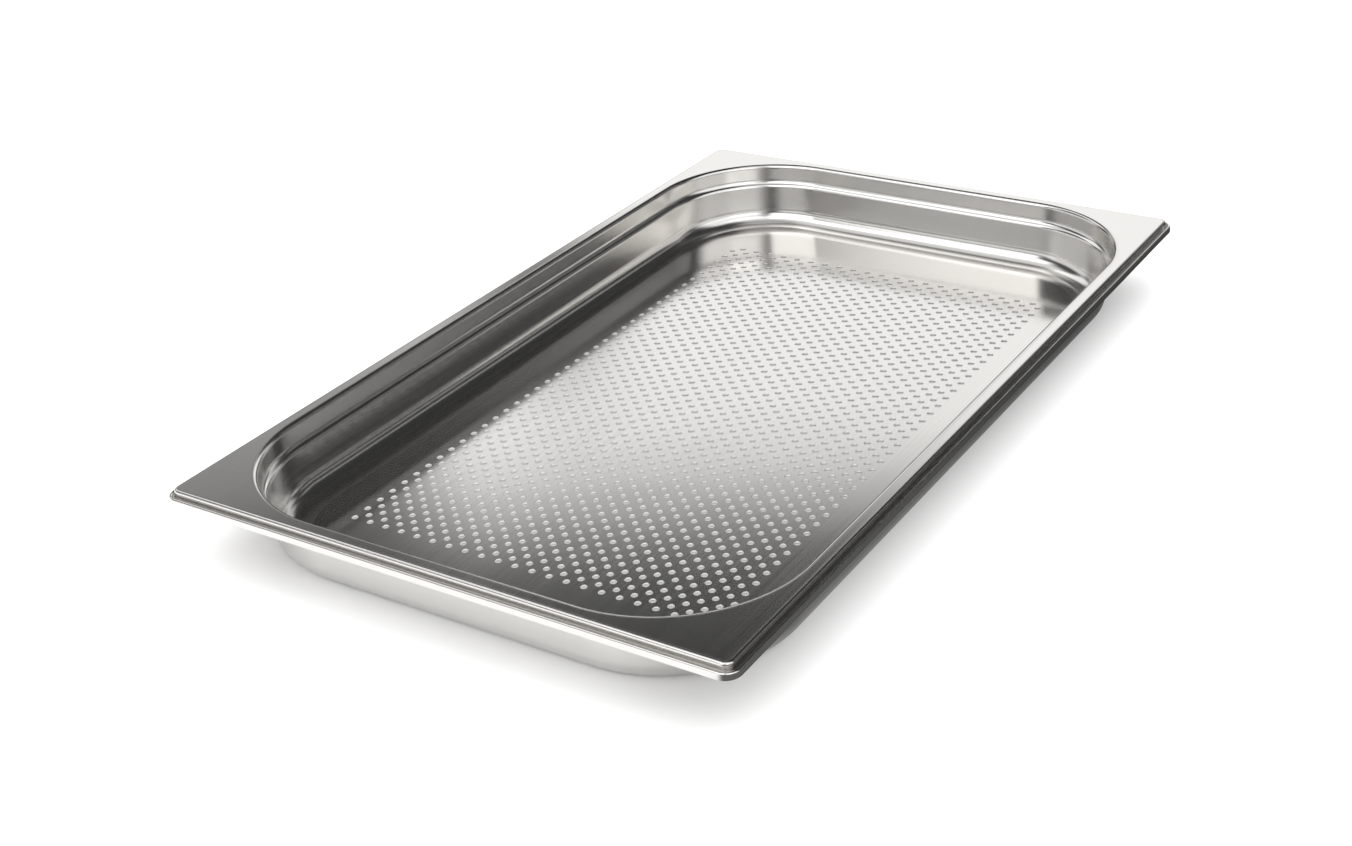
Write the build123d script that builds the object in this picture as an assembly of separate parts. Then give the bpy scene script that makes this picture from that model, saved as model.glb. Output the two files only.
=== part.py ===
from build123d import *
import math
import os

# Perforated gastronorm tray, full size (GN 1/1), 40 mm deep, in millimetres.
# It is one sheet of stainless steel: punched in its base, deep-drawn, and turned down round
# its rim. Its zones are separate solids that meet face to face, each seam in a straight
# stretch of the section, so that a zone can be reused or restyled by itself.
# Frame: +X along the long side, +Y along the short side, +Z up, origin under the centre of
# the base. An inset is a distance inwards from the tray's outermost edge.

LENGTH = 530.0
WIDTH = 325.0
HEIGHT = 40.0
SHEET = 0.8

# Plan: the rim's corners and the basin's corners turn round two different centres.
RIM_CORNER_RADIUS = 8.0
OPENING_INSET = 9.5
OPENING_CORNER_RADIUS = 75.0

# Rim edge, outer skin, from the flange outwards and down: a bend, a groove and a lip.
EDGE_BEND_INSET = 4.5
EDGE_BEND_RADIUS = 1.5
GROOVE_LEVEL = 35.9
GROOVE_RADIUS = 0.5
LIP_BEND_RADIUS = 1.0
LIP_LEVEL = 33.2

# Basin, inner skin, from the opening down.
OPENING_BEND_RADIUS = 2.4
SHOULDER_TOP = 30.4
SHOULDER_TURN = 55.0
SHOULDER_CONCAVE_RADIUS = 4.0
SHOULDER_CONVEX_RADIUS = 3.0
WALL_DRAFT = 4.0
BOTTOM_RADIUS = 11.0

# Where the zones meet.
FLANGE_OUTER_INSET = 5.2
FLANGE_INNER_INSET = 8.7
UPPER_SEAM_LEVEL = 34.0
LOWER_SEAM_DROP = 5.0
BASE_SEAM_INSET = 33.0

# Perforation: round holes on a diagonal grid, every other row shifted by half a pitch.
HOLE_DIAMETER = 3.5
HOLE_PITCH = 10.0
ROW_SPACING = 5.1
ROW_COUNT = 43
HOLES_PER_ROW = 39


def polar(centre, radius, degrees):
    """A point on a circle in the (inset, level) plane."""
    angle = math.radians(degrees)
    return centre[0] + radius * math.cos(angle), centre[1] + radius * math.sin(angle)


class Skin:
    """One skin of the sheet's section: lines and arcs in the (inset, level) plane."""

    def __init__(self, start):
        self.points = [start]
        self.middles = []

    def line(self, end):
        self.points.append(end)
        self.middles.append(None)

    def arc(self, centre, radius, start_angle, end_angle):
        self.points.append(polar(centre, radius, end_angle))
        self.middles.append(polar(centre, radius, (start_angle + end_angle) / 2))

    def edges(self, place):
        """The skin's edges, with each point sent through place(inset, level)."""
        result = []
        for start, middle, end in zip(self.points, self.middles, self.points[1:]):
            if middle is None:
                result.append(Edge.make_line(place(*start), place(*end)))
            else:
                result.append(Edge.make_three_point_arc(place(*start), place(*middle), place(*end)))
        return result


def section_face(front, back, place):
    """The sheet's section between two skins that run the same way."""
    caps = [
        Edge.make_line(place(*front.points[0]), place(*back.points[0])),
        Edge.make_line(place(*front.points[-1]), place(*back.points[-1])),
    ]
    outline = Wire(front.edges(place) + back.edges(place) + caps)
    return Face(outline)


def ring(front, back, corner_reach):
    """Carries a section round the plan: four straight runs and four turned corners.

    corner_reach is the inset of the corners' centres from both outermost edges.
    The result is one solid, as each run meets its corners face to face.
    """
    half_length = LENGTH / 2 - corner_reach
    half_width = WIDTH / 2 - corner_reach

    def at_end(inset, level):
        return Vector(LENGTH / 2 - inset, -half_width, level)

    def at_side(inset, level):
        return Vector(-half_length, WIDTH / 2 - inset, level)

    end_face = section_face(front, back, at_end)
    side_face = section_face(front, back, at_side)
    end_run = Solid.extrude(end_face, Vector(0, 2 * half_width, 0))
    side_run = Solid.extrude(side_face, Vector(2 * half_length, 0, 0))
    corner = Solid.revolve(end_face, 90, Axis((half_length, -half_width, 0), (0, 0, -1)))
    far_corner = mirror(corner, Plane.XZ)
    pieces = [
        end_run,
        far_corner,
        side_run,
        mirror(far_corner, Plane.YZ),
        mirror(end_run, Plane.YZ),
        mirror(corner, Plane.YZ),
        mirror(side_run, Plane.XZ),
        corner,
    ]
    body = Part() + pieces[0]
    for piece in pieces[1:]:
        body = body + piece
    return body


def edge_skin(depth):
    """The rim edge's outer skin, moved into the sheet by a depth."""
    step_inset = EDGE_BEND_INSET - EDGE_BEND_RADIUS
    bend_centre = (EDGE_BEND_INSET, HEIGHT - EDGE_BEND_RADIUS)
    groove_centre = (step_inset - GROOVE_RADIUS, GROOVE_LEVEL)
    lip_centre = (LIP_BEND_RADIUS, GROOVE_LEVEL)
    skin = Skin((FLANGE_OUTER_INSET, HEIGHT - depth))
    skin.line((EDGE_BEND_INSET, HEIGHT - depth))
    skin.arc(bend_centre, EDGE_BEND_RADIUS - depth, 90, 180)
    skin.line((step_inset + depth, GROOVE_LEVEL))
    skin.arc(groove_centre, GROOVE_RADIUS + depth, 0, -180)
    skin.arc(lip_centre, LIP_BEND_RADIUS - depth, 0, 180)
    skin.line((depth, LIP_LEVEL))
    return skin


def opening_skin(depth):
    """The basin's inner skin from the flange to the upper seam."""
    wall_inset = OPENING_INSET + OPENING_BEND_RADIUS
    skin = Skin((FLANGE_INNER_INSET, HEIGHT - depth))
    skin.line((OPENING_INSET, HEIGHT - depth))
    skin.arc((OPENING_INSET, HEIGHT - OPENING_BEND_RADIUS), OPENING_BEND_RADIUS - depth, 90, 0)
    skin.line((wall_inset - depth, UPPER_SEAM_LEVEL))
    return skin


def shoulder_foot(depth):
    """The centres of the shoulder's two arcs, and the point where the drafted lower wall begins."""
    wall_inset = OPENING_INSET + OPENING_BEND_RADIUS
    concave_centre = (wall_inset + SHOULDER_CONCAVE_RADIUS, SHOULDER_TOP)
    both_radii = SHOULDER_CONCAVE_RADIUS + SHOULDER_CONVEX_RADIUS
    convex_centre = polar(concave_centre, both_radii, 180 + SHOULDER_TURN)
    foot = polar(convex_centre, SHOULDER_CONVEX_RADIUS - depth, WALL_DRAFT)
    return concave_centre, convex_centre, foot


def seam_on_lower_wall(depth):
    """The seam across the lower wall, square to it."""
    foot = shoulder_foot(depth)[2]
    return polar(foot, LOWER_SEAM_DROP, WALL_DRAFT - 90)


def shoulder_skin(depth):
    """The basin's inner skin from the upper seam, over the stacking shoulder, to the lower seam."""
    concave_centre, convex_centre, _ = shoulder_foot(depth)
    wall_inset = OPENING_INSET + OPENING_BEND_RADIUS - depth
    skin = Skin((wall_inset, UPPER_SEAM_LEVEL))
    skin.line((wall_inset, SHOULDER_TOP))
    skin.arc(concave_centre, SHOULDER_CONCAVE_RADIUS + depth, 180, 180 + SHOULDER_TURN)
    skin.arc(convex_centre, SHOULDER_CONVEX_RADIUS - depth, SHOULDER_TURN, WALL_DRAFT)
    skin.line(seam_on_lower_wall(depth))
    return skin


def foot_skin(depth):
    """The basin's inner skin from the lower seam, round the bottom radius, to the base."""
    seam = seam_on_lower_wall(0)
    centre_level = SHEET + BOTTOM_RADIUS
    start_level = centre_level - BOTTOM_RADIUS * math.sin(math.radians(WALL_DRAFT))
    run = (seam[1] - start_level) / math.cos(math.radians(WALL_DRAFT))
    wall_end = polar(seam, run, WALL_DRAFT - 90)
    centre = polar(wall_end, BOTTOM_RADIUS, WALL_DRAFT)
    radius = BOTTOM_RADIUS + depth
    skin = Skin(seam_on_lower_wall(depth))
    skin.line(polar(centre, radius, 180 + WALL_DRAFT))
    skin.arc(centre, radius, 180 + WALL_DRAFT, 270)
    skin.line((BASE_SEAM_INSET, SHEET - depth))
    return skin


def rim_flange():
    """The flat plate between the rim edge and the opening, widest at its corners."""
    outline = RectangleRounded(
        LENGTH - 2 * FLANGE_OUTER_INSET,
        WIDTH - 2 * FLANGE_OUTER_INSET,
        RIM_CORNER_RADIUS - FLANGE_OUTER_INSET,
    )
    opening = RectangleRounded(
        LENGTH - 2 * FLANGE_INNER_INSET,
        WIDTH - 2 * FLANGE_INNER_INSET,
        OPENING_CORNER_RADIUS + OPENING_INSET - FLANGE_INNER_INSET,
    )
    return Pos(0, 0, HEIGHT - SHEET) * extrude(outline - opening, SHEET)


def hole_centres():
    """The centres of the perforation, symmetrical about the tray's middle."""
    centres = []
    for row in range(ROW_COUNT):
        shift = HOLE_PITCH / 4 if row % 2 else -HOLE_PITCH / 4
        y = (row - (ROW_COUNT - 1) / 2) * ROW_SPACING
        for column in range(HOLES_PER_ROW):
            x = (column - (HOLES_PER_ROW - 1) / 2) * HOLE_PITCH + shift
            centres.append((x, y))
    return centres


def perforated_base():
    """The flat sheet inside the bottom radius, with its holes as inner outlines."""
    plate = RectangleRounded(
        LENGTH - 2 * BASE_SEAM_INSET,
        WIDTH - 2 * BASE_SEAM_INSET,
        OPENING_CORNER_RADIUS + OPENING_INSET - BASE_SEAM_INSET,
    )
    holes = []
    for x, y in hole_centres():
        circle = Edge.make_circle(HOLE_DIAMETER / 2, Plane((x, y, 0)))
        holes.append(Wire([circle]))
    return Solid.extrude(Face(plate.face().outer_wire(), holes), Vector(0, 0, SHEET))


BASIN_CORNER_REACH = OPENING_INSET + OPENING_CORNER_RADIUS

ZONES = {
    "perforated_base": perforated_base(),
    "bottom_radius": ring(foot_skin(0), foot_skin(SHEET), BASIN_CORNER_REACH),
    "stacking_shoulder": ring(shoulder_skin(0), shoulder_skin(SHEET), BASIN_CORNER_REACH),
    "opening_bend": ring(opening_skin(0), opening_skin(SHEET), BASIN_CORNER_REACH),
    "rim_flange": rim_flange(),
    "turned_down_edge": ring(edge_skin(0), edge_skin(SHEET), RIM_CORNER_RADIUS),
}

os.makedirs("parts", exist_ok=True)
for name, shape in ZONES.items():
    export_step(shape, f"parts/{name}.step")
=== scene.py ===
import bpy
import math
from mathutils import Matrix, Vector


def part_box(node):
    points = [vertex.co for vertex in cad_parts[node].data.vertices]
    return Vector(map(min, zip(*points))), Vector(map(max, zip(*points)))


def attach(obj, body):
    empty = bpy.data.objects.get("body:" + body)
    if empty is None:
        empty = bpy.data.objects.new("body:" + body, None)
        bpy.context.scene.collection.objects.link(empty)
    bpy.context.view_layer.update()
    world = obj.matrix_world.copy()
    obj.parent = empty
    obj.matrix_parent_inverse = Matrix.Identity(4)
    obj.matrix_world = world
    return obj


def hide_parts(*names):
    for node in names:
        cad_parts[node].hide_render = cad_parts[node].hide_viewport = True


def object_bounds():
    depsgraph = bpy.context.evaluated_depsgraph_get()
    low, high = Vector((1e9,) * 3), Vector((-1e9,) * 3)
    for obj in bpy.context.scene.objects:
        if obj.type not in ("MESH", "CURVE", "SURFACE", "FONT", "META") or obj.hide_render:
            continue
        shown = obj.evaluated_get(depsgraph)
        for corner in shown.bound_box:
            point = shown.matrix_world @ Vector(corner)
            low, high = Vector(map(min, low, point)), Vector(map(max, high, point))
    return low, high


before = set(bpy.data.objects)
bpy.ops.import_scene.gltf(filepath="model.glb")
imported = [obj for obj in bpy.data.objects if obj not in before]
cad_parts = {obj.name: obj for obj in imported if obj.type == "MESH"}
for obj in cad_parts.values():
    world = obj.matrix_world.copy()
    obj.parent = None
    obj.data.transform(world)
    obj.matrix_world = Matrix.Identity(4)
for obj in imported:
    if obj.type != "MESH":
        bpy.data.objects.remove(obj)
cad_low, cad_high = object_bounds()

# The perforated gastronorm tray's visual model: one skin of stainless sheet, drawn as six
# pieces that meet where the CAD part's zones meet. Lengths in this file are in millimetres
# until a vertex is made. An inset is a distance inwards from the tray's outermost edge, and a
# level is a height above the surface that the tray stands on.

MM = 0.001
LENGTH = (cad_high.x - cad_low.x) / MM
WIDTH = (cad_high.y - cad_low.y) / MM
HEIGHT = cad_high.z / MM
SHEET = (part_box("perforated_base")[1].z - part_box("perforated_base")[0].z) / MM

# The rim edge's outer skin
RIM_REACH = 8.0
FLANGE_OUTER_INSET = 5.2
EDGE_BEND_INSET = 4.5
EDGE_BEND_RADIUS = 1.5
GROOVE_LEVEL = 35.9
GROOVE_RADIUS = 0.5
LIP_BEND_RADIUS = 1.0
LIP_LEVEL = 33.2

# The basin's inner skin
BASIN_REACH = 84.5
FLANGE_INNER_INSET = 8.7
OPENING_INSET = 9.5
OPENING_BEND_RADIUS = 2.4
UPPER_SEAM_LEVEL = 34.0
SHOULDER_TOP = 30.4
SHOULDER_TURN = 55.0
SHOULDER_CONCAVE_RADIUS = 4.0
SHOULDER_CONVEX_RADIUS = 3.0
WALL_DRAFT = 4.0
LOWER_SEAM_DROP = 5.0
BOTTOM_RADIUS = 11.0
BASE_SEAM_INSET = 33.0

# The perforation: bricks of one hole each, laid in staggered rows
HOLE_RADIUS = 1.75
HOLE_ROLL = 0.14
HOLE_PITCH = 10.0
ROW_SPACING = 5.1
ROW_COUNT = 43
HOLES_PER_ROW = 39

# How finely the plan is divided: segments of a long side, a short side and a corner
LONG_SEGMENTS = 63
SHORT_SEGMENTS = 27
CORNER_SEGMENTS = 32
RIM_ARC_SEGMENTS = 8


# ---------------------------------------------------------------- the section

# How finely the section is divided: segments of each arc and of each straight stretch
EDGE_BEND_STEPS = 10
GROOVE_STEPS = 8
LIP_STEPS = 16
OPENING_BEND_STEPS = 12
SHOULDER_STEPS = 8
BOTTOM_STEPS = 16
SHORT_STEPS = 2
WALL_STEPS = 3


def polar(centre, radius, degrees):
    """A point on a circle in the (inset, level) plane."""
    angle = math.radians(degrees)
    return centre[0] + radius * math.cos(angle), centre[1] + radius * math.sin(angle)


def arc(centre, radius, start, end, steps, hollow=False):
    """Points along an arc, each with the outward normal of the skin: (inset, level, ni, nl)."""
    points = []
    side = -1 if hollow else 1
    for step in range(steps + 1):
        degrees = start + (end - start) * step / steps
        inset, level = polar(centre, radius, degrees)
        normal = polar((0, 0), side, degrees)
        points.append((inset, level, normal[0], normal[1]))
    return points


def line(start, end, normal, steps=1):
    """Points along a straight stretch, each with the same outward normal."""
    points = []
    for step in range(steps + 1):
        share = step / steps
        inset = start[0] + (end[0] - start[0]) * share
        level = start[1] + (end[1] - start[1]) * share
        points.append((inset, level, normal[0], normal[1]))
    return points


def joined(*stretches):
    """One list of section points, without the repeated ones where the stretches meet."""
    points = list(stretches[0])
    for stretch in stretches[1:]:
        points += stretch[1:]
    return points


def edge_section():
    step_inset = EDGE_BEND_INSET - EDGE_BEND_RADIUS
    bend_foot = HEIGHT - EDGE_BEND_RADIUS
    groove_centre = (step_inset - GROOVE_RADIUS, GROOVE_LEVEL)
    lip_centre = (LIP_BEND_RADIUS, GROOVE_LEVEL)
    return joined(
        line((FLANGE_OUTER_INSET, HEIGHT), (EDGE_BEND_INSET, HEIGHT), (0, 1)),
        arc((EDGE_BEND_INSET, bend_foot), EDGE_BEND_RADIUS, 90, 180, EDGE_BEND_STEPS),
        line((step_inset, bend_foot), (step_inset, GROOVE_LEVEL), (-1, 0), SHORT_STEPS),
        arc(groove_centre, GROOVE_RADIUS, 0, -180, GROOVE_STEPS, hollow=True),
        arc(lip_centre, LIP_BEND_RADIUS, 0, 180, LIP_STEPS),
        line((0, GROOVE_LEVEL), (0, LIP_LEVEL), (-1, 0), SHORT_STEPS),
    )


def opening_section():
    wall_inset = OPENING_INSET + OPENING_BEND_RADIUS
    bend_foot = HEIGHT - OPENING_BEND_RADIUS
    return joined(
        line((FLANGE_INNER_INSET, HEIGHT), (OPENING_INSET, HEIGHT), (0, 1)),
        arc((OPENING_INSET, bend_foot), OPENING_BEND_RADIUS, 90, 0, OPENING_BEND_STEPS),
        line((wall_inset, bend_foot), (wall_inset, UPPER_SEAM_LEVEL), (1, 0), WALL_STEPS),
    )


def lower_wall():
    """The end of the shoulder, the seam under it, and the direction down the drafted wall."""
    wall_inset = OPENING_INSET + OPENING_BEND_RADIUS
    concave_centre = (wall_inset + SHOULDER_CONCAVE_RADIUS, SHOULDER_TOP)
    both_radii = SHOULDER_CONCAVE_RADIUS + SHOULDER_CONVEX_RADIUS
    convex_centre = polar(concave_centre, both_radii, 180 + SHOULDER_TURN)
    foot = polar(convex_centre, SHOULDER_CONVEX_RADIUS, WALL_DRAFT)
    seam = polar(foot, LOWER_SEAM_DROP, WALL_DRAFT - 90)
    return concave_centre, convex_centre, foot, seam


def shoulder_section():
    wall_inset = OPENING_INSET + OPENING_BEND_RADIUS
    concave_centre, convex_centre, foot, seam = lower_wall()
    turn, steps = SHOULDER_TURN, SHOULDER_STEPS
    return joined(
        line((wall_inset, UPPER_SEAM_LEVEL), (wall_inset, SHOULDER_TOP), (1, 0), WALL_STEPS),
        arc(concave_centre, SHOULDER_CONCAVE_RADIUS, 180, 180 + turn, steps, hollow=True),
        arc(convex_centre, SHOULDER_CONVEX_RADIUS, turn, WALL_DRAFT, steps),
        line(foot, seam, polar((0, 0), 1, WALL_DRAFT), SHORT_STEPS),
    )


def foot_section():
    seam = lower_wall()[3]
    start_level = SHEET + BOTTOM_RADIUS - BOTTOM_RADIUS * math.sin(math.radians(WALL_DRAFT))
    run = (seam[1] - start_level) / math.cos(math.radians(WALL_DRAFT))
    wall_end = polar(seam, run, WALL_DRAFT - 90)
    centre = polar(wall_end, BOTTOM_RADIUS, WALL_DRAFT)
    return joined(
        line(seam, wall_end, polar((0, 0), 1, WALL_DRAFT), WALL_STEPS),
        arc(centre, BOTTOM_RADIUS, 180 + WALL_DRAFT, 270, BOTTOM_STEPS, hollow=True),
        line((centre[0], SHEET), (BASE_SEAM_INSET, SHEET), (0, 1)),
    )


# ------------------------------------------------------------------- the plan

def spread(start, end, segments):
    """Equal steps from start up to, but not including, end."""
    return [start + (end - start) * k / segments for k in range(segments)]


def corner_stations(centre, first_angle, arc_segments, straight_segments, straight_run):
    """Stations round one corner: part of a side, the arc, and part of the next side."""
    out = Vector((math.cos(first_angle), math.sin(first_angle)))
    along = Vector((-out.y, out.x))
    stations = []
    for ahead in spread(-straight_run, 0, straight_segments):
        stations.append((centre + along * ahead, out))
    for turn in spread(0, math.pi / 2, arc_segments):
        angle = first_angle + turn
        stations.append((centre, Vector((math.cos(angle), math.sin(angle)))))
    for ahead in spread(0, -straight_run, straight_segments):
        stations.append((centre + out * ahead, along))
    return stations


def plan(reach):
    """Stations round the tray, each a base point and an outward direction.

    A skin's point at an inset is base + direction * (reach - inset). Every reach gives the
    same number of stations, and they line up, so that the pieces share their seam vertices.
    """
    half_x, half_y = LENGTH / 2 - reach, WIDTH / 2 - reach
    basin_x, basin_y = LENGTH / 2 - BASIN_REACH, WIDTH / 2 - BASIN_REACH
    straight_run = BASIN_REACH - reach
    if straight_run:
        arc_segments = RIM_ARC_SEGMENTS
        straight_segments = (CORNER_SEGMENTS - RIM_ARC_SEGMENTS) // 2
    else:
        arc_segments, straight_segments = CORNER_SEGMENTS, 0
    stations = []
    for quarter in range(4):
        angle = quarter * math.pi / 2
        sign_x = 1 if quarter in (0, 3) else -1
        sign_y = 1 if quarter in (0, 1) else -1
        out = Vector((round(math.cos(angle)), round(math.sin(angle))))
        along = Vector((-out.y, out.x))
        if quarter % 2:
            segments, edge, reach_along = LONG_SEGMENTS, half_y, basin_x
        else:
            segments, edge, reach_along = SHORT_SEGMENTS, half_x, basin_y
        for ahead in spread(-reach_along, reach_along, segments):
            stations.append((out * edge + along * ahead, out))
        centre = Vector((sign_x * half_x, sign_y * half_y))
        stations += corner_stations(centre, angle, arc_segments, straight_segments, straight_run)
    return stations


# ------------------------------------------------------------- mesh building

class Skin:
    """Collects vertices and faces, each face corner with its own normal and sheet coordinate."""

    def __init__(self):
        self.points = []
        self.faces = []
        self.normals = []
        self.sheet = []

    def point(self, x, y, z):
        self.points.append((x * MM, y * MM, z * MM))
        return len(self.points) - 1

    def face(self, corners, normals, sheet, turned=False):
        """Adds a face, its corners anticlockwise as seen from outside, or clockwise if turned."""
        step = -1 if turned else 1
        self.faces.append(corners[::step])
        self.normals += normals[::step]
        self.sheet += sheet[::step]

    def level_face(self, corners, up):
        """A face that lies level. Its sheet coordinate is its place in the plan."""
        places = [self.points[corner][:2] for corner in corners]
        self.face(corners, [(0, 0, up)] * len(corners), places, up < 0)

    def build(self, name):
        mesh = bpy.data.meshes.new(name)
        mesh.from_pydata(self.points, [], self.faces)
        layer = mesh.uv_layers.new(name="sheet")
        layer.data.foreach_set("uv", [number for pair in self.sheet for number in pair])
        mesh.polygons.foreach_set("use_smooth", [True] * len(mesh.polygons))
        mesh.normals_split_custom_set(self.normals)
        mesh.validate(clean_customdata=False)
        piece = bpy.data.objects.new(name, mesh)
        bpy.context.scene.collection.objects.link(piece)
        return piece


def swept(name, section, reach):
    """A closed piece of sheet: the section's front skin, and the back skin behind it, carried
    round the plan."""
    front = section
    back = [(i - ni * SHEET, l - nl * SHEET, -ni, -nl) for i, l, ni, nl in section[::-1]]
    outline = front + back
    count = len(outline)
    first, second, last = front[0], front[1], front[-1]
    run = (second[0] - first[0], second[1] - first[1])
    sense = 1 if run[0] * first[3] - run[1] * first[2] > 0 else -1
    caps = {
        len(front) - 1: (sense * last[3], -sense * last[2]),
        count - 1: (-sense * first[3], sense * first[2]),
    }
    stations = plan(reach)
    stations.append(stations[0])
    skin = Skin()
    grid = []
    travel = [0.0]
    for base, out in stations[:-1]:
        ring = []
        for inset, level, _, _ in outline:
            place = base + out * (reach - inset)
            ring.append(skin.point(place.x, place.y, level))
        grid.append(ring)
    grid.append(grid[0])
    for here, there in zip(stations, stations[1:]):
        middle_here = here[0] + here[1] * (reach - first[0])
        middle_there = there[0] + there[1] * (reach - first[0])
        travel.append(travel[-1] + (middle_there - middle_here).length * MM)
    depth = [0.0]
    for here, there in zip(outline, outline[1:] + outline[:1]):
        depth.append(depth[-1] + math.hypot(there[0] - here[0], there[1] - here[1]) * MM)

    def normal_at(station, normal):
        out = stations[station][1]
        return (-out.x * normal[0], -out.y * normal[0], normal[1])

    for s in range(len(stations) - 1):
        for k in range(count):
            after = (k + 1) % count
            near, far = (caps[k], caps[k]) if k in caps else (outline[k][2:], outline[after][2:])
            corners = [grid[s][k], grid[s + 1][k], grid[s + 1][after], grid[s][after]]
            normals = [
                normal_at(s, near), normal_at(s + 1, near),
                normal_at(s + 1, far), normal_at(s, far),
            ]
            u0, u1, v0, v1 = travel[s], travel[s + 1], depth[k], depth[k + 1]
            skin.face(corners, normals, [(u0, v0), (u1, v0), (u1, v1), (u0, v1)], sense < 0)
    return skin.build(name)


def walls(skin, upper, lower, sense=1, centre=None):
    """Upright faces between two closed rings of vertices that run anticlockwise.

    They face away from the rings' middle, or towards it where sense is -1. A round hole's
    centre makes their normals turn smoothly."""
    for k in range(len(upper)):
        after = (k + 1) % len(upper)
        corners = [lower[k], lower[after], upper[after], upper[k]]
        a, b = Vector(skin.points[lower[k]]), Vector(skin.points[lower[after]])
        flat = Vector((b.y - a.y, a.x - b.x, 0)).normalized() * sense
        normals = []
        for corner in corners:
            if centre:
                x, y, _ = skin.points[corner]
                flat = Vector((x - centre[0] * MM, y - centre[1] * MM, 0)).normalized() * sense
            normals.append(tuple(flat))
        sheet = [(skin.points[corner][0], skin.points[corner][2]) for corner in corners]
        skin.face(corners, normals, sheet, sense < 0)


def ring_between(outer, inner, share):
    """Plan points part of the way from one ring of plan points to another."""
    return [a.lerp(b, share) for a, b in zip(outer, inner)]


def level_ring(skin, places, level):
    return [skin.point(place.x, place.y, level) for place in places]


def plate(skin, outer, inner, up):
    """Level faces between two closed rings that run anticlockwise."""
    count = len(outer)
    for k in range(count):
        after = (k + 1) % count
        skin.level_face([outer[k], outer[after], inner[after], inner[k]], up)


def skin_path(reach, inset):
    return [base + out * (reach - inset) for base, out in plan(reach)]


def flange_piece(name):
    """The flat plate round the opening, narrow along the sides and wide at the corners."""
    skin = Skin()
    outer = skin_path(RIM_REACH, FLANGE_OUTER_INSET)
    inner = skin_path(BASIN_REACH, FLANGE_INNER_INSET)
    edges = []
    for level, up in ((HEIGHT, 1), (HEIGHT - SHEET, -1)):
        rings = []
        for step in range(FLANGE_STEPS + 1):
            rings.append(level_ring(skin, ring_between(outer, inner, step / FLANGE_STEPS), level))
        for here, there in zip(rings, rings[1:]):
            plate(skin, here, there, up)
        edges.append((rings[0], rings[-1]))
    (top_outer, top_inner), (under_outer, under_inner) = edges
    walls(skin, top_outer, under_outer)
    walls(skin, top_inner, under_inner, sense=-1)
    return skin.build(name)


# --------------------------------------------------------- the perforated base

# Each hole's brick is a grid of cells this many across, and the field is counted in cells.
BRICK_X = 8
BRICK_Y = 4
GRID_X = HOLE_PITCH / BRICK_X
GRID_Y = ROW_SPACING / BRICK_Y
FIELD_X = (HOLES_PER_ROW * BRICK_X + BRICK_X // 2) // 2
FIELD_Y = ROW_COUNT * BRICK_Y // 2

# Cells between the field's border vertices, along the sides and near the corners
SIDE_STRIDE = 4
CORNER_STRIDE = 2


def brick_edge():
    """Grid steps round a brick from the middle of its right side, anticlockwise."""
    half_x, half_y = BRICK_X // 2, BRICK_Y // 2
    right = [(half_x, k) for k in range(-half_y, half_y)]
    top = [(k, half_y) for k in range(half_x, -half_x, -1)]
    left = [(-half_x, k) for k in range(half_y, -half_y, -1)]
    foot = [(k, -half_y) for k in range(-half_x, half_x)]
    steps = right + top + left + foot
    return steps[half_y:] + steps[:half_y]


def field_edge():
    """Grid steps round the perforated field, anticlockwise and as many as the plan has
    stations: wide strides along the sides, and narrower ones near the corners."""
    near = CORNER_SEGMENTS
    side_x, side_y = FIELD_X - near, FIELD_Y - near
    right = [(FIELD_X, y) for y in range(-side_y, side_y, SIDE_STRIDE)]
    corner = [(FIELD_X, y) for y in range(side_y, FIELD_Y, CORNER_STRIDE)]
    corner += [(x, FIELD_Y) for x in range(FIELD_X, side_x, -CORNER_STRIDE)]
    top = [(x, FIELD_Y) for x in range(side_x, -side_x, -SIDE_STRIDE)]
    next_corner = [(x, FIELD_Y) for x in range(-side_x, -FIELD_X, -CORNER_STRIDE)]
    next_corner += [(-FIELD_X, y) for y in range(FIELD_Y, side_y, -CORNER_STRIDE)]
    half = right + corner + top + next_corner
    return half + [(-x, -y) for x, y in half]


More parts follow.
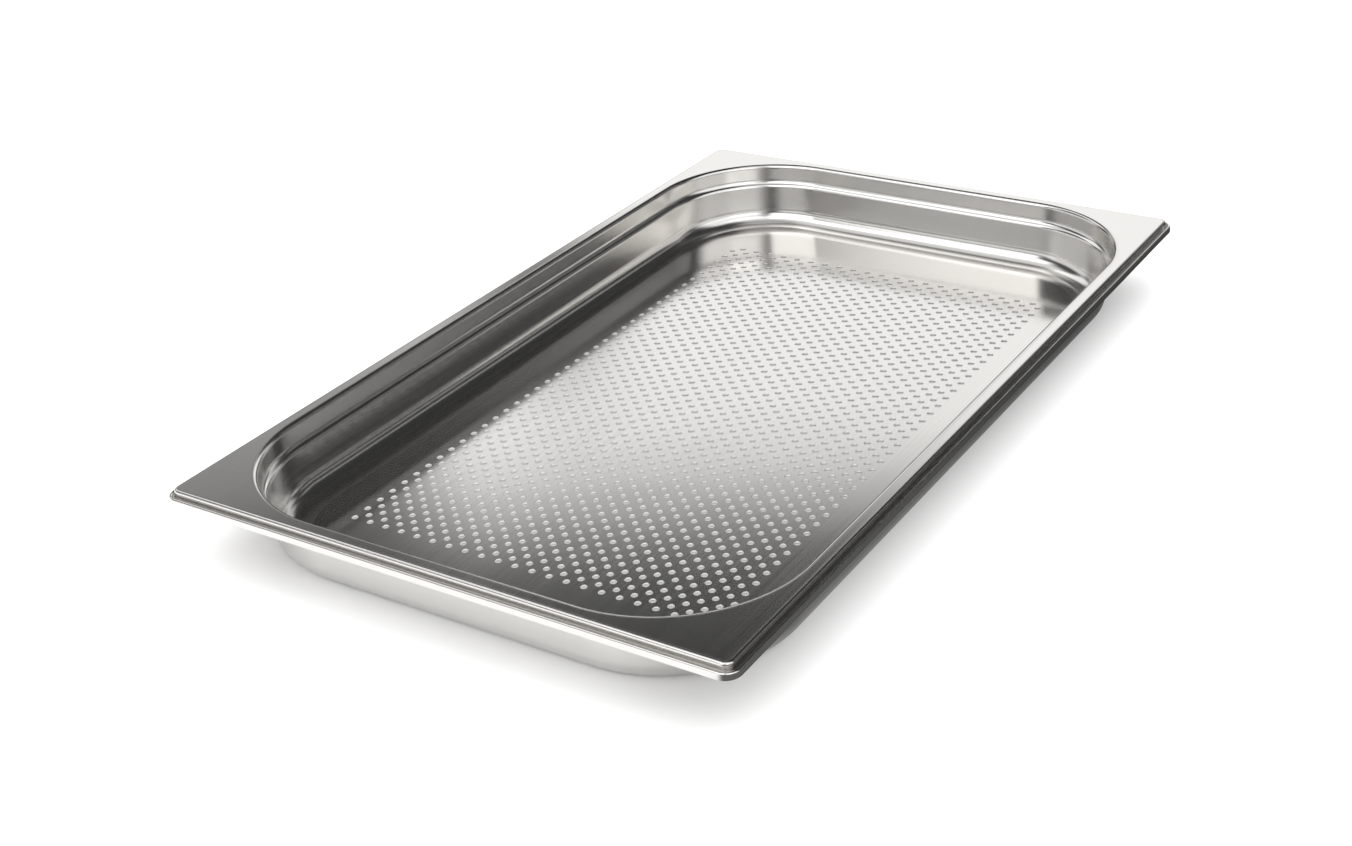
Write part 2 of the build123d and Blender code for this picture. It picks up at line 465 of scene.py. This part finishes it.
def base_side(skin, level, up, hole_rings):
    """One side of the base: bricks round the holes, plain fill at the ends of the rows, and
    the margin out to the seam. hole_rings is filled with each hole's ring on this side."""
    grid = {}

    def corner(ix, iy):
        if (ix, iy) not in grid:
            grid[ix, iy] = skin.point(ix * GRID_X, iy * GRID_Y, level)
        return grid[ix, iy]

    steps = brick_edge()
    count = len(steps)
    radius = HOLE_RADIUS + (HOLE_ROLL if up > 0 else 0)
    for row in range(ROW_COUNT):
        iy = BRICK_Y * row - FIELD_Y + BRICK_Y // 2
        shift = BRICK_X // 4 if row % 2 else -BRICK_X // 4
        for column in range(HOLES_PER_ROW):
            ix = BRICK_X * column - BRICK_X * (HOLES_PER_ROW - 1) // 2 + shift
            edge = [corner(ix + dx, iy + dy) for dx, dy in steps]
            hole = []
            for k in range(count):
                angle = 2 * math.pi * k / count
                x = ix * GRID_X + radius * math.cos(angle)
                y = iy * GRID_Y + radius * math.sin(angle)
                hole.append(skin.point(x, y, level))
            plate(skin, edge, hole, up)
            hole_rings.append(((ix * GRID_X, iy * GRID_Y), hole))
        first = -FIELD_X if row % 2 else FIELD_X - BRICK_X // 2
        for ix in range(first, first + BRICK_X // 2):
            for jy in range(iy - BRICK_Y // 2, iy + BRICK_Y // 2):
                square = [(ix, jy), (ix + 1, jy), (ix + 1, jy + 1), (ix, jy + 1)]
                skin.level_face([corner(*place) for place in square], up)

    border = field_edge()
    grown_x = 1 + FIELD_STRIP / (FIELD_X * GRID_X)
    grown_y = 1 + FIELD_STRIP / (FIELD_Y * GRID_Y)
    strip = [
        Vector((x * GRID_X * (grown_x if abs(x) == FIELD_X else 1),
                y * GRID_Y * (grown_y if abs(y) == FIELD_Y else 1)))
        for x, y in border
    ]
    strip_ring = level_ring(skin, strip, level)
    for k, here in enumerate(border):
        after = (k + 1) % len(border)
        there = border[after]
        gap = max(abs(there[0] - here[0]), abs(there[1] - here[1]))
        between = []
        for step in range(gap, -1, -1):
            x = here[0] + (there[0] - here[0]) * step // gap
            y = here[1] + (there[1] - here[1]) * step // gap
            between.append(corner(x, y))
        skin.level_face([strip_ring[k], strip_ring[after]] + between, up)

    seam = skin_path(BASIN_REACH, BASE_SEAM_INSET)
    rings = []
    for step in range(MARGIN_STEPS):
        rings.append(level_ring(skin, ring_between(seam, strip, step / MARGIN_STEPS), level))
    rings.append(strip_ring)
    for outer, inner in zip(rings, rings[1:]):
        plate(skin, outer, inner, up)
    return rings[0]


def base_piece(name):
    """The flat base with its punched holes, each rolled over a little at its top edge."""
    skin = Skin()
    top_holes, under_holes = [], []
    top_seam = base_side(skin, SHEET, 1, top_holes)
    under_seam = base_side(skin, 0, -1, under_holes)
    walls(skin, top_seam, under_seam)
    for (centre, mouth), (_, foot) in zip(top_holes, under_holes):
        throat = []
        for vertex in foot:
            x, y, _ = skin.points[vertex]
            throat.append(skin.point(x / MM, y / MM, SHEET - HOLE_ROLL))
        walls(skin, throat, foot, sense=-1, centre=centre)
        roll_over(skin, mouth, throat, centre)
    return skin.build(name)


# How far the rolled edge's normals tip upwards, at a hole's mouth and at its throat
MOUTH_LIFT = 1.4
THROAT_LIFT = 0.4


def roll_over(skin, mouth, throat, centre):
    """The narrow sloping ring between a hole's mouth and its throat."""
    count = len(mouth)
    for k in range(count):
        after = (k + 1) % count
        corners = [mouth[k], mouth[after], throat[after], throat[k]]
        normals = []
        for corner in corners:
            x, y, _ = skin.points[corner]
            inwards = Vector((centre[0] * MM - x, centre[1] * MM - y, 0)).normalized()
            lift = MOUTH_LIFT if corner in (mouth[k], mouth[after]) else THROAT_LIFT
            normals.append(tuple(Vector((inwards.x, inwards.y, lift)).normalized()))
        sheet = [skin.points[corner][:2] for corner in corners]
        skin.face(corners, normals, sheet)


# ------------------------------------------------------------------ materials

STEEL_COLOUR = (0.70, 0.69, 0.67, 1)

# Noise on the sheet: scale in the noise's own coordinates, detail and roughness
GRAIN = ((90, 4200, 1), 3, 0.6)
STREAKS = ((9, 620, 1), 2, 0.5)
WAVES = ((13, 17, 30), 1, 0.4)

# The bump that each noise makes: distance in metres, and strength
WAVE_BUMP = (0.0003, 0.25)
STREAK_BUMP = (0.00002, 0.1)
GRAIN_BUMP = (0.00001, 0.06)


def steel_material(name, smooth, rough):
    """Satin stainless sheet: a fine rolled grain, faint draw streaks and slight unevenness.

    smooth and rough are the roughness of its smoothest and its roughest streaks."""
    material = bpy.data.materials.new(name)
    material.use_nodes = True
    nodes, links = material.node_tree.nodes, material.node_tree.links
    shader = nodes["Principled BSDF"]
    shader.inputs["Base Color"].default_value = STEEL_COLOUR
    shader.inputs["Metallic"].default_value = 1.0

    place = nodes.new("ShaderNodeUVMap")
    place.uv_map = "sheet"
    solid = nodes.new("ShaderNodeTexCoord")

    def scaled_noise(source, scale, detail, roughness):
        mapping = nodes.new("ShaderNodeMapping")
        mapping.inputs["Scale"].default_value = scale
        links.new(source, mapping.inputs["Vector"])
        noise = nodes.new("ShaderNodeTexNoise")
        noise.inputs["Scale"].default_value = 1.0
        noise.inputs["Detail"].default_value = detail
        noise.inputs["Roughness"].default_value = roughness
        links.new(mapping.outputs["Vector"], noise.inputs["Vector"])
        return noise.outputs["Fac"]

    grain = scaled_noise(place.outputs["UV"], *GRAIN)
    streaks = scaled_noise(place.outputs["UV"], *STREAKS)
    waves = scaled_noise(solid.outputs["Object"], *WAVES)

    roughness = nodes.new("ShaderNodeMapRange")
    roughness.inputs["To Min"].default_value = smooth
    roughness.inputs["To Max"].default_value = rough
    links.new(streaks, roughness.inputs["Value"])
    links.new(roughness.outputs["Result"], shader.inputs["Roughness"])

    normal = None
    layers = ((waves, WAVE_BUMP), (streaks, STREAK_BUMP), (grain, GRAIN_BUMP))
    for height, (distance, strength) in layers:
        bump = nodes.new("ShaderNodeBump")
        bump.inputs["Strength"].default_value = strength
        bump.inputs["Distance"].default_value = distance
        links.new(height, bump.inputs["Height"])
        if normal:
            links.new(normal, bump.inputs["Normal"])
        normal = bump.outputs["Normal"]
    links.new(normal, shader.inputs["Normal"])
    return material


# ------------------------------------------------------------------ the pieces

# Rings of faces across the flange and across the base's margin, and the width in
# millimetres of the strip round the perforated field
FLANGE_STEPS = 4
MARGIN_STEPS = 5
FIELD_STRIP = 2.5

flat_steel = steel_material("stainless_sheet_flat", 0.10, 0.16)
drawn_steel = steel_material("stainless_sheet_drawn", 0.14, 0.22)
PIECES = {
    "perforated_base": base_piece("sheet_base"),
    "bottom_radius": swept("sheet_bottom_radius", foot_section(), BASIN_REACH),
    "stacking_shoulder": swept("sheet_shoulder", shoulder_section(), BASIN_REACH),
    "opening_bend": swept("sheet_opening_bend", opening_section(), BASIN_REACH),
    "rim_flange": flange_piece("sheet_flange"),
    "turned_down_edge": swept("sheet_rim_edge", edge_section(), RIM_REACH),
}
for node, piece in PIECES.items():
    level = node in ("perforated_base", "rim_flange")
    piece.data.materials.append(flat_steel if level else drawn_steel)
    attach(piece, "root")
    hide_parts(node)


# ------------------------------------------------------------- floor and light

def table_top(name, level, shade, half_x, half_y):
    """A level sheet that isn't part of the tray, in a plain shade from black to white."""
    mesh = bpy.data.meshes.new(name)
    corners = [
        (-half_x, -half_y, level), (half_x, -half_y, level),
        (half_x, half_y, level), (-half_x, half_y, level),
    ]
    mesh.from_pydata(corners, [], [(0, 1, 2, 3)])
    table = bpy.data.objects.new(name, mesh)
    bpy.context.scene.collection.objects.link(table)
    material = bpy.data.materials.new(name)
    material.use_nodes = True
    shader = material.node_tree.nodes["Principled BSDF"]
    shader.inputs["Base Color"].default_value = (shade, shade, shade, 1)
    shader.inputs["Roughness"].default_value = 1.0
    shader.inputs["Specular IOR Level"].default_value = 0.0
    mesh.materials.append(material)
    return table, material


def paint_shade_across(material, *ramps):
    """Paints shade on a table by its place: each ramp is an axis, a start, an end, and the shade
    at each, and the shades are multiplied."""
    nodes, links = material.node_tree.nodes, material.node_tree.links
    place = nodes.new("ShaderNodeTexCoord")
    split = nodes.new("ShaderNodeSeparateXYZ")
    links.new(place.outputs["Object"], split.inputs["Vector"])
    total = None
    for axis, start, end, low, high in ramps:
        shade = nodes.new("ShaderNodeMapRange")
        shade.interpolation_type = "SMOOTHSTEP"
        shade.inputs["From Min"].default_value = start
        shade.inputs["From Max"].default_value = end
        shade.inputs["To Min"].default_value = low
        shade.inputs["To Max"].default_value = high
        links.new(split.outputs[axis], shade.inputs["Value"])
        if total is None:
            total = shade.outputs["Result"]
            continue
        product = nodes.new("ShaderNodeMath")
        product.operation = "MULTIPLY"
        links.new(total, product.inputs[0])
        links.new(shade.outputs["Result"], product.inputs[1])
        total = product.outputs["Value"]
    links.new(total, nodes["Principled BSDF"].inputs["Base Color"])


def studio_table():
    """A white table for the camera, a darker one under the tray that shows through the holes,
    painted shadow of the tray, and the table as the metal mirrors it, with painted shade that
    makes it darker behind the tray and beside its near long side."""
    table, _ = table_top("table", TABLE_LEVEL, TABLE_SHADE, TABLE_HALF, TABLE_HALF)
    table.visible_glossy = False
    # painted shadow: a dark table under the tray, where the tray's shadow falls, seen through the
    # holes
    under, _ = table_top(
        "painted_shadow_under_tray", UNDER_LEVEL, UNDER_TRAY_PAINTED_SHADOW, UNDER_HALF_X, UNDER_HALF_Y)
    under.visible_glossy = False
    mirrored, material = table_top(
        "mirrored_table", MIRRORED_LEVEL, TABLE_SHADE, TABLE_HALF, TABLE_HALF)
    mirrored.visible_camera = False
    mirrored.visible_diffuse = False
    mirrored.visible_shadow = False
    # painted shade: the table that the metal mirrors is darker behind the tray and beside its
    # near long side
    paint_shade_across(material, PAINTED_SHADE_ALONG, PAINTED_SHADE_ACROSS)


# The three tables lie one above another, just under the tray, in metres. A shade is from 0
# for black to 1 for white.
TABLE_LEVEL = -0.0003
UNDER_LEVEL = -0.0002
MIRRORED_LEVEL = -0.0001
TABLE_SHADE = 0.92
# The table under the tray is painted shadow: a dark sheet where the tray's shadow falls on the
# table seen through the holes.
UNDER_TRAY_PAINTED_SHADOW = 0.4
TABLE_HALF = 12.0
UNDER_HALF_X = 0.205
UNDER_HALF_Y = 0.115

# How the mirrored table's painted shade runs: axis, start and end in metres, and the shade at
# each
PAINTED_SHADE_ALONG = ("X", -0.26, 0.22, 0.85, 0.4)
PAINTED_SHADE_ACROSS = ("Y", -0.17, -0.12, 0.1, 1.0)
studio_table()

# Soft panels round the tray: azimuth of the middle (0 is +X, 90 is +Y), elevation of the
# middle, half width and half height, how soft the edges are across and upwards, in degrees,
# and how bright the panel is.
PANELS = (
    ("front_left", -110, 38, 38, 19, 17, 12, 1.15),
    ("front_mid", -128, 23, 16, 5, 8, 6, 1.15),
    ("front", -91, 25, 26, 1.3, 14, 5.6, 1.0),
    ("front_low", -110, 8.5, 40, 9, 16, 8, 0.94),
    ("left", 176, 41, 27, 19, 3, 2, 1.8),
    ("left_high", 139, 47.5, 15.6, 8.9, 10, 5, 1.5),
    ("left_low", 165, 9.3, 29, 7.2, 12, 6, 0.95),
    ("back_left_low", 113, 11, 26, 13, 12, 6, 0.86),
    ("back", 21, 21.5, 15.5, 8.7, 4, 2.5, 1.2),
    ("back_upper_left", 39.5, 28, 3, 2.2, 4, 2.5, 1.2),
    ("back_left_edge", 48.6, 22.5, 9, 6.5, 6, 5, 0.42),
    ("back_left_high", 74, 40.5, 12.7, 17, 6.7, 8, 1.25),
    ("back_left_gap", 59, 10, 8, 10, 6, 6, 0.55),
    ("back_right", -2.5, 20, 8.5, 9.4, 6, 6, 0.63),
    ("right_low", -16, 9, 6.3, 10, 6, 6, 0.7),
    ("right_strip", -41, 28.5, 14, 1.3, 5, 2.5, 0.7),
    ("right_low_strip", -46, 13.5, 11, 1.3, 5, 2.5, 0.6),
    ("over_left", 170, 60, 90, 14, 40, 14, 0.9),
    ("overhead", 0, 90, 200, 13, 10, 8, 0.5),
)

# How bright the room is between the panels, and the sun over the tables: its strength, how
# wide it is, and how far it leans towards -Y, in degrees
ROOM_LIGHT = 0.04
TABLE_FILL = 5.8
TABLE_FILL_ANGLE = 150
TABLE_FILL_TILT = 10


def studio_world():
    """Soft panels in a dark room, and a plain white backdrop behind the object."""
    world = bpy.data.worlds.new("studio")
    bpy.context.scene.world = world
    world.cycles_visibility.diffuse = False
    world.use_nodes = True
    nodes, links = world.node_tree.nodes, world.node_tree.links

    def math_node(operation, first, second=None, third=None):
        node = nodes.new("ShaderNodeMath")
        node.operation = operation
        for socket, value in zip(node.inputs, (first, second, third)):
            if isinstance(value, (int, float)):
                socket.default_value = value
            elif value is not None:
                links.new(value, socket)
        return node.outputs["Value"]

    def inside(distance, half, softness):
        """1 where a distance from the middle is well under half, 0 well over it."""
        edge = nodes.new("ShaderNodeMapRange")
        edge.interpolation_type = "SMOOTHSTEP"
        edge.inputs["From Min"].default_value = half + softness / 2
        edge.inputs["From Max"].default_value = half - softness / 2
        links.new(distance, edge.inputs["Value"])
        return edge.outputs["Result"]

    direction = nodes.new("ShaderNodeTexCoord")
    split = nodes.new("ShaderNodeSeparateXYZ")
    links.new(direction.outputs["Generated"], split.inputs["Vector"])
    turn = math_node("ARCTAN2", split.outputs["Y"], split.outputs["X"])
    azimuth = math_node("MULTIPLY", turn, 180 / math.pi)
    elevation = math_node("MULTIPLY", math_node("ARCSINE", split.outputs["Z"]), 180 / math.pi)
    total = None
    for _, across, up, half_width, half_height, soft_across, soft_up, brightness in PANELS:
        offset = math_node("WRAP", math_node("SUBTRACT", azimuth, across), 180, -180)
        beside = inside(math_node("ABSOLUTE", offset), half_width, soft_across)
        level = math_node("ABSOLUTE", math_node("SUBTRACT", elevation, up))
        above = inside(level, half_height, soft_up)
        panel = math_node("MULTIPLY", math_node("MULTIPLY", beside, above), brightness)
        total = panel if total is None else math_node("ADD", total, panel)

    room = nodes["Background"]
    links.new(math_node("ADD", total, ROOM_LIGHT), room.inputs["Strength"])
    room.inputs["Color"].default_value = (1, 1, 1, 1)
    backdrop = nodes.new("ShaderNodeBackground")
    backdrop.inputs["Color"].default_value = (1, 1, 1, 1)
    path = nodes.new("ShaderNodeLightPath")
    mix = nodes.new("ShaderNodeMixShader")
    links.new(path.outputs["Is Camera Ray"], mix.inputs["Fac"])
    links.new(room.outputs["Background"], mix.inputs[1])
    links.new(backdrop.outputs["Background"], mix.inputs[2])
    links.new(mix.outputs["Shader"], nodes["World Output"].inputs["Surface"])


def table_fill():
    """A soft light from above for the tables alone: the metal doesn't mirror it."""
    data = bpy.data.lights.new("table_fill", "SUN")
    data.angle = math.radians(TABLE_FILL_ANGLE)
    data.energy = TABLE_FILL
    light = bpy.data.objects.new("table_fill", data)
    light.rotation_euler = (math.radians(TABLE_FILL_TILT), 0, 0)
    light.visible_glossy = False
    bpy.context.scene.collection.objects.link(light)


studio_world()
table_fill()

bpy.context.scene.view_settings.view_transform = "Standard"


# ----------------------------------------------------------------- the camera

AZIMUTH, ELEVATION, ROLL = math.radians(-56.096), math.radians(28.04), math.radians(-3.75)
DISTANCE = 0.998764
SENSOR_WIDTH, LENS = 36.0, 50.35
TARGET = Vector((-0.062952, -0.007432, 0.020))
backwards = Vector((
    math.sin(AZIMUTH) * math.cos(ELEVATION),
    -math.cos(AZIMUTH) * math.cos(ELEVATION),
    math.sin(ELEVATION),
))
camera_data = bpy.data.cameras.new("camera")
camera_data.sensor_width = SENSOR_WIDTH
camera_data.lens = LENS
camera = bpy.data.objects.new("camera", camera_data)
bpy.context.scene.collection.objects.link(camera)
right = (-backwards).cross(Vector((0, 0, 1))).normalized()
above = right.cross(-backwards)
axis_x = right * math.cos(ROLL) + above * math.sin(ROLL)
axis_y = above * math.cos(ROLL) - right * math.sin(ROLL)
turn = Matrix((axis_x, axis_y, backwards)).transposed()
camera.matrix_world = Matrix.Translation(TARGET + backwards * DISTANCE) @ turn.to_4x4()
bpy.context.scene.camera = camera
